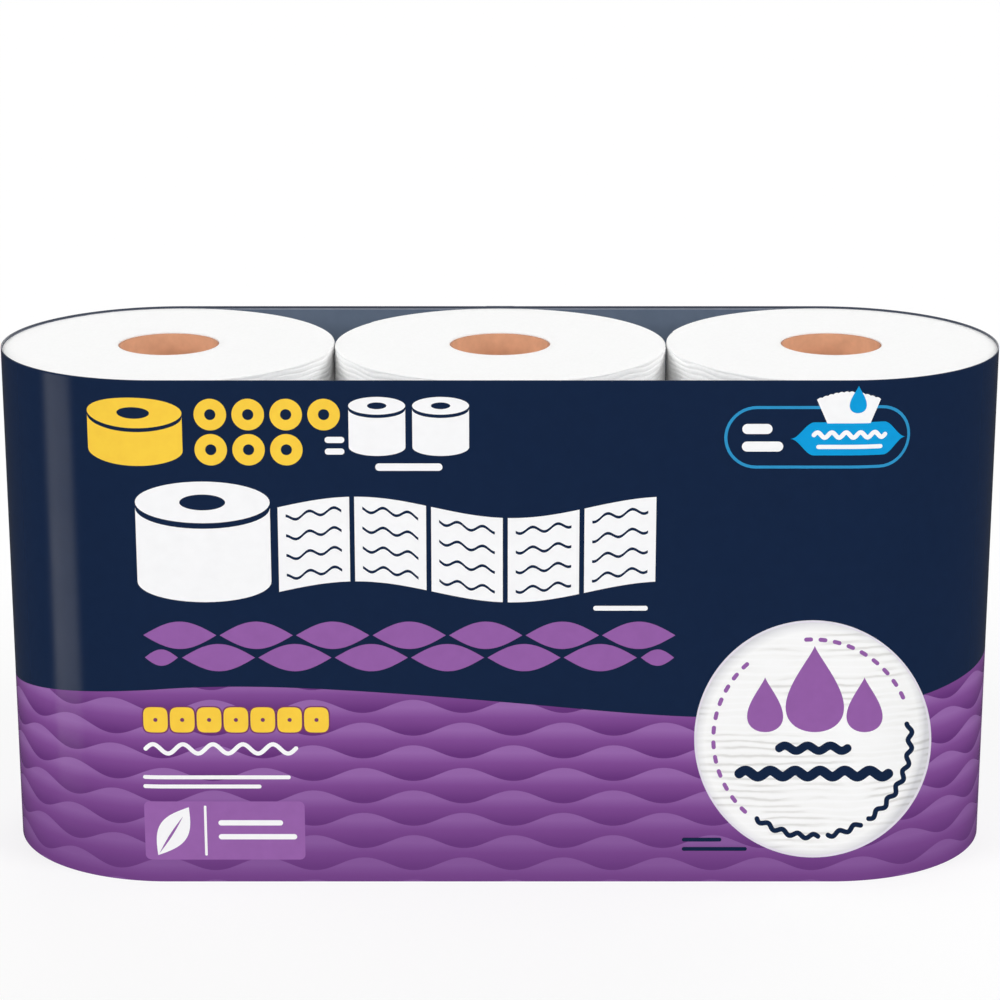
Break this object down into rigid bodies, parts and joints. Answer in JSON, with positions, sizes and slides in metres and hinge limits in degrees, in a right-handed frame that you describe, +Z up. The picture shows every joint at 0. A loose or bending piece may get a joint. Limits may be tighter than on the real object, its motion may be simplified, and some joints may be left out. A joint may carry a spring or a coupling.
{
  "type": "toilet paper roll pack",
  "caption": "Toilet paper rolls standing on end in two layers of three, held together by an open printed film sleeve.",
  "frame": {"origin": "on the floor under the middle roll, at the centre of the pack's base", "axes": "+X along the row of rolls, to the right seen from the printed front; +Y from the front to the back seam; +Z up along the rolls' cores"},
  "size_m": [0.3908, 0.1311, 0.2014],
  "materials": {
    "printed_film": "satin gloss printed film",
    "tissue_paper": "soft matte embossed tissue",
    "core_board": "matte uncoated board"
  },
  "bodies": {
    "root": {"printed_film_sleeve": "printed_film", "lower_left_paper_roll": "tissue_paper", "lower_left_core": "core_board", "lower_middle_paper_roll": "tissue_paper", "lower_middle_core": "core_board", "lower_right_paper_roll": "tissue_paper", "lower_right_core": "core_board", "upper_left_paper_roll": "tissue_paper", "upper_left_core": "core_board", "upper_middle_paper_roll": "tissue_paper", "upper_middle_core": "core_board", "upper_right_paper_roll": "tissue_paper", "upper_right_core": "core_board"}
  },
  "joints": []
}
